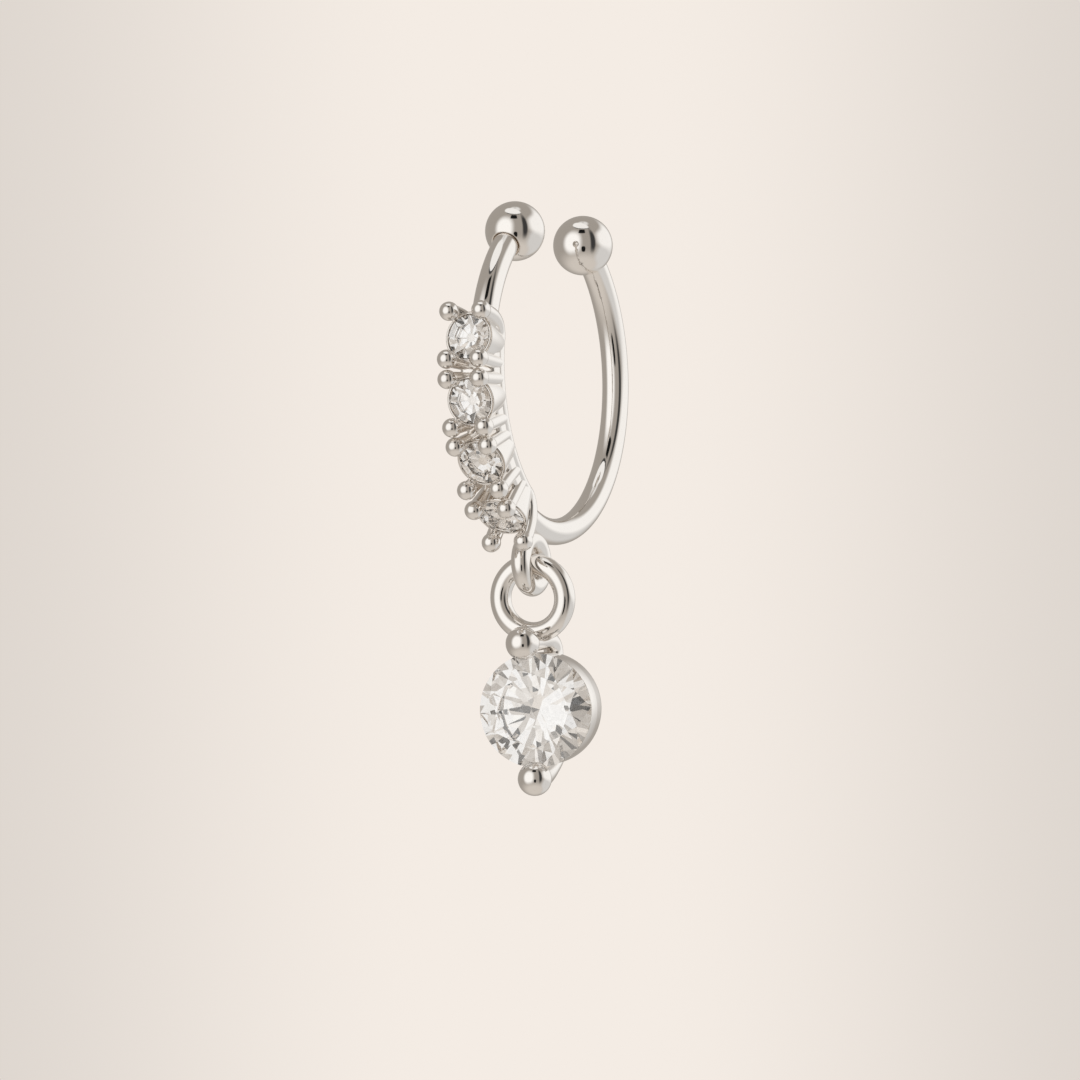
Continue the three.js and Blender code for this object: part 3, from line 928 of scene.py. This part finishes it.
def studio_world(view, finish):
    """A light tent round the ring: a soft grey that pales downwards, with bright panels and
    small dark flags in it. The stones see it with their own contrast and no brighter than a
    top value. The camera itself sees only the plain backdrop, with painted shade that darkens
    its sides."""
    world = bpy.data.worlds.new("light_tent")
    bpy.context.scene.world = world
    world.use_nodes = True
    tree = world.node_tree
    tree.nodes.clear()
    maths = shader_maths(tree)
    turned_tent = tree.nodes.new("ShaderNodeMapping")
    turned_tent.inputs["Rotation"].default_value = (0, 0, -view.azimuth)
    tree.links.new(tree.nodes.new("ShaderNodeTexCoord").outputs["Generated"],
                   turned_tent.inputs["Vector"])
    parts = tree.nodes.new("ShaderNodeSeparateXYZ")
    tree.links.new(turned_tent.outputs["Vector"], parts.inputs["Vector"])
    right, toward = parts.outputs["X"], maths("MULTIPLY", parts.outputs["Y"], -1.0)
    around = maths("DEGREES", maths("ARCTAN2", right, toward))
    up = maths("DEGREES", maths("ARCSINE", parts.outputs["Z"]))

    light = mixed(tree, ramp(tree, up, *TENT_SHADE), LOW_TENT, HIGH_TENT)
    for name, turn, rise, half_width, half_height, soft, squareness, brightness in PANELS:
        panel = tree.nodes.new("ShaderNodeGroup")
        panel.node_tree = panel_mask()
        panel.label = name
        for socket, number in (("Middle Round", turn), ("Middle Up", rise),
                               ("Half Width", half_width), ("Half Height", half_height),
                               ("Soft", soft), ("Squareness", squareness)):
            panel.inputs[socket].default_value = number
        tree.links.new(around, panel.inputs["Round"])
        tree.links.new(up, panel.inputs["Up"])
        light = mixed(tree, panel.outputs["Mask"], light, darker(PANEL_TINT, brightness))

    path = tree.nodes.new("ShaderNodeLightPath").outputs
    in_stone = light
    for operation, numbers in (("MULTIPLY_ADD", (view.stone_contrast, view.stone_lift)),
                               ("MINIMUM", (view.stone_top,))):
        node = tree.nodes.new("ShaderNodeVectorMath")
        node.operation = operation
        tree.links.new(in_stone, node.inputs[0])
        for socket, number in zip(node.inputs[1:], numbers):
            socket.default_value = [number] * 3
        in_stone = node.outputs[0]
    through_stone = maths("GREATER_THAN", path["Transmission Depth"], 0.5)
    light = mixed(tree, through_stone, light, in_stone)
    # Painted shade: the backdrop that the camera sees darkens towards its sides, as if light
    # fell off there.
    edge = ramp(tree, maths("ABSOLUTE", right), *BACKDROP_SHADE)
    pale = tuple(finish.backdrop)
    backdrop = mixed(tree, edge, pale, darker(pale, BACKDROP_SIDE_SHADE))
    seen = mixed(tree, path["Is Camera Ray"], light, backdrop)
    background = tree.nodes.new("ShaderNodeBackground")
    tree.links.new(seen, background.inputs["Color"])
    output = tree.nodes.new("ShaderNodeOutputWorld")
    tree.links.new(background.outputs["Background"], output.inputs["Surface"])


def floor_finish(finish, radius):
    """A pale floor that fades out towards its rim, with a faint mottle."""
    material, tree, shader = new_material("pale_floor")
    maths = shader_maths(tree)
    away = tree.nodes.new("ShaderNodeVectorMath")
    away.operation = "LENGTH"
    tree.links.new(tree.nodes.new("ShaderNodeTexCoord").outputs["Object"], away.inputs[0])
    pale = tuple(finish.floor)
    tree.links.new(mixed(tree, noise(tree, MOTTLE), pale, darker(pale, SURFACE_SHADE)),
                   shader.inputs["Base Color"])
    shader.inputs["Roughness"].default_value = 0.9
    fade = ramp(tree, maths("DIVIDE", away.outputs["Value"], radius), *FLOOR_FADE)
    tree.links.new(fade, shader.inputs["Alpha"])
    return material


def floor(view, finish):
    """A round floor under the ring: rings of points on a plane. It lies under the line of
    sight, and the metal mirrors the tent, not the floor."""
    radii = np.linspace(0.02, 1.0, FLOOR_RINGS) * view.floor_radius
    points = np.vstack([ring_at(radius, -view.floor_below, FLOOR_SIDES) for radius in radii])
    faces = quads(FLOOR_RINGS, FLOOR_SIDES, False).tolist() + [list(range(FLOOR_SIDES))]
    mesh = bpy.data.meshes.new("floor")
    mesh.from_pydata(points.tolist(), [], faces)
    mesh.flip_normals()
    mesh.materials.append(floor_finish(finish, view.floor_radius))
    made = bpy.data.objects.new("floor", mesh)
    bpy.context.scene.collection.objects.link(made)
    made.visible_glossy = False
    made.visible_transmission = False


def camera(view, hoop):
    """A long lens at the viewing angle, aimed a little under the hoop's middle."""
    c, s = math.cos(view.azimuth), math.sin(view.azimuth)
    ce, se = math.cos(view.elevation), math.sin(view.elevation)
    right = np.array([c, s, 0.0])
    back = np.array([s * ce, -c * ce, se])
    up = np.cross(back, right)
    middle = np.array([0, 0, -hoop.half_height * math.cos(hoop.gap_half_angle)])
    aim = middle + view.aim_right * right + view.aim_up * up
    data = bpy.data.cameras.new("view")
    data.lens = view.lens
    data.sensor_width = 36.0
    distance = view.width * data.lens / data.sensor_width
    data.clip_start, data.clip_end = 0.01, 10.0
    made = bpy.data.objects.new("view", data)
    bpy.context.scene.collection.objects.link(made)
    place_at = aim + distance * back
    made.matrix_world = Matrix(np.vstack([np.stack([right, up, back, place_at], 1),
                                          [0, 0, 0, 1]]).tolist())
    bpy.context.scene.camera = made


# Operators --------------------------------------------


class NOSERING_OT_hoop(Operator):
    """Make the hoop of wire and its two beads"""
    bl_idname = "nose_ring.make_hoop"
    bl_label = "Hoop and beads"

    def execute(self, context):
        ring = settings(context)
        metal = metal_finish(ring.finish)
        new_piece("hoop_wire", hoop_wire(ring.hoop), metal, "ring", ["ring_frame"])
        for end, side in (("front", -1), ("back", 1)):
            new_piece(f"{end}_bead", bead(ring.hoop, side), metal, "ring",
                      [f"end_bead_{end}"])
        return {"FINISHED"}


class NOSERING_OT_row(Operator):
    """Make the band, cups, claws and stones of the row"""
    bl_idname = "nose_ring.make_row"
    bl_label = "Stone row"

    def execute(self, context):
        ring = settings(context)
        hoop, row = ring.hoop, ring.row
        metal, stone = cast_finish(ring.finish), stone_finish(ring.finish)
        new_piece("row_band", row_band(hoop, row), metal, "ring", ["ring_frame"])
        new_piece("row_cups", row_cups(hoop), metal, "ring", ["ring_frame"])
        new_piece("row_claws", row_claws(hoop, row), metal, "ring", ["ring_frame"])
        for i in range(len(ROW_SEATS)):
            seat = lifted(row_seat(hoop, i), row.girdle_height)
            new_piece(f"row_brilliant_{i + 1}", single_cut(ring.cut, row.stone_radius, seat),
                      stone, "ring", [f"row_stone_{i + 1}"], smooth=False)
        return {"FINISHED"}


class NOSERING_OT_drop(Operator):
    """Make the eye under the hoop and the drop that hangs in it"""
    bl_idname = "nose_ring.make_drop"
    bl_label = "Eye and drop"

    def execute(self, context):
        ring = settings(context)
        drop = ring.drop
        wire, metal = metal_finish(ring.finish), cast_finish(ring.finish)
        stone = stone_finish(ring.finish)
        new_piece("hanging_eye", eye(drop), wire, "ring", ["ring_frame"])
        new_piece("drop_link", drop_link(drop), wire, "drop", ["drop_setting"])
        bowl = cup(DROP_CUP, cup_seat(drop), LARGE_CORNER, DROP_CUP_SIDES)
        new_piece("drop_cup", bowl, metal, "drop", ["drop_setting"])
        claws = joined([drop_claw(drop, *claw) for claw in DROP_CLAWS])
        new_piece("drop_claws", claws, metal, "drop", ["drop_setting"])
        seat = lifted(cup_seat(drop), drop.girdle_forward)
        new_piece("drop_brilliant", brilliant(ring.cut, drop.stone_radius, seat), stone, "drop",
                  ["drop_stone"], smooth=False)
        return {"FINISHED"}


class NOSERING_OT_studio(Operator):
    """Make the floor, the light tent and the camera"""
    bl_idname = "nose_ring.make_studio"
    bl_label = "Studio"

    def execute(self, context):
        ring = settings(context)
        studio_world(ring.view, ring.finish)
        floor(ring.view, ring.finish)
        camera(ring.view, ring.hoop)
        scene = context.scene
        scene.view_settings.view_transform = "Standard"
        scene.cycles.max_bounces = 24
        scene.cycles.glossy_bounces = 16
        scene.cycles.transmission_bounces = 16
        return {"FINISHED"}


class NOSERING_PT_panel(Panel):
    """The operators of the nose ring, in order"""
    bl_label = "Nose ring"
    bl_space_type = "VIEW_3D"
    bl_region_type = "UI"
    bl_category = "Nose ring"

    def draw(self, context):
        for operator in OPERATORS:
            self.layout.operator(operator.bl_idname)


OPERATORS = (NOSERING_OT_hoop, NOSERING_OT_row, NOSERING_OT_drop, NOSERING_OT_studio)


class NoseRing(PropertyGroup):
    """All sizes and colours of the nose ring."""
    hoop: PointerProperty(type=HoopSizes)
    row: PointerProperty(type=RowSizes)
    drop: PointerProperty(type=DropSizes)
    cut: PointerProperty(type=CutSizes)
    finish: PointerProperty(type=Finish)
    view: PointerProperty(type=View)


CLASSES = (HoopSizes, RowSizes, DropSizes, CutSizes, Finish, View, NoseRing, *OPERATORS,
           NOSERING_PT_panel)


def register():
    for one in CLASSES:
        bpy.utils.register_class(one)
    bpy.types.Scene.nose_ring = PointerProperty(type=NoseRing)


def unregister():
    del bpy.types.Scene.nose_ring
    for one in reversed(CLASSES):
        bpy.utils.unregister_class(one)


def main():
    register()
    bpy.ops.nose_ring.make_hoop()
    bpy.ops.nose_ring.make_row()
    bpy.ops.nose_ring.make_drop()
    bpy.ops.nose_ring.make_studio()
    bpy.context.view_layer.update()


if __name__ == "__main__":
    main()
